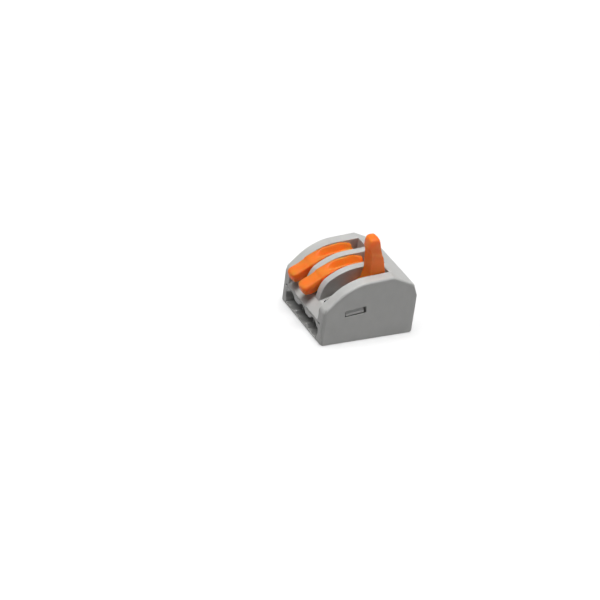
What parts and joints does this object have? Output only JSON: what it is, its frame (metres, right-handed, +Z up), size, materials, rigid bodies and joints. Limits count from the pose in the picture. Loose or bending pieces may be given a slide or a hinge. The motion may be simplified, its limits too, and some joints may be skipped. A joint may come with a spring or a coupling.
{
  "type": "lever wire connector",
  "caption": "Lever splice connector: grey housing with funnel wire entries side by side, hinged orange levers, cage clamp springs and a common busbar.",
  "frame": {"origin": "middle of the base face, halfway between the side walls and between front and back", "axes": "+X across the poles, +Y from the wire entries towards the back, +Z up from the base to the levers"},
  "size_m": [0.0182, 0.0216, 0.0214],
  "materials": {
    "housing_plastic": "mid grey moulded polyamide with a fine satin grain",
    "insert_plastic": "grey moulded polyamide, a shade darker inside the funnels",
    "lever_plastic": "orange moulded plastic with a satin sheen",
    "busbar_metal": "tin-plated copper strip, soft matt silver",
    "spring_steel": "bright chrome nickel spring steel strip"
  },
  "bodies": {
    "housing": {"housing_shell": "housing_plastic", "base_insert": "insert_plastic", "busbar": "busbar_metal", "spring_foot_1": "spring_steel", "spring_foot_2": "spring_steel", "spring_foot_3": "spring_steel"},
    "lever_1": {"lever_1": "lever_plastic"},
    "lever_2": {"lever_2": "lever_plastic"},
    "lever_3": {"lever_3": "lever_plastic"},
    "cage_1": {"spring_cage_1": "spring_steel"},
    "cage_2": {"spring_cage_2": "spring_steel"},
    "cage_3": {"spring_cage_3": "spring_steel"}
  },
  "joints": [
    {"name": "lever_1_pivot", "type": "hinge", "parent": "housing", "child": "lever_1", "pos_m": [-0.005, 0, 0.01005], "axis": [-1, 0, 0], "range_deg": [0, 103]},
    {"name": "lever_2_pivot", "type": "hinge", "parent": "housing", "child": "lever_2", "pos_m": [0, 0, 0.01005], "axis": [-1, 0, 0], "range_deg": [0, 103]},
    {"name": "lever_3_pivot", "type": "hinge", "parent": "housing", "child": "lever_3", "pos_m": [0.005, 0, 0.01005], "axis": [-1, 0, 0], "range_deg": [-103, 0]},
    {"name": "cage_1_flex", "type": "hinge", "parent": "housing", "child": "cage_1", "pos_m": [-0.005, 0.00665, 0.0062], "axis": [1, 0, 0], "range_deg": [0, 14.19]},
    {"name": "cage_2_flex", "type": "hinge", "parent": "housing", "child": "cage_2", "pos_m": [0, 0.00665, 0.0062], "axis": [1, 0, 0], "range_deg": [0, 14.19]},
    {"name": "cage_3_flex", "type": "hinge", "parent": "housing", "child": "cage_3", "pos_m": [0.005, 0.00665, 0.0062], "axis": [1, 0, 0], "range_deg": [-14.19, 0]}
  ],
  "couplings": [
    {"joint": "cage_1_flex", "follows": "lever_1_pivot", "ratio": 0.13771},
    {"joint": "cage_2_flex", "follows": "lever_2_pivot", "ratio": 0.13771},
    {"joint": "cage_3_flex", "follows": "lever_3_pivot", "ratio": 0.13771}
  ]
}
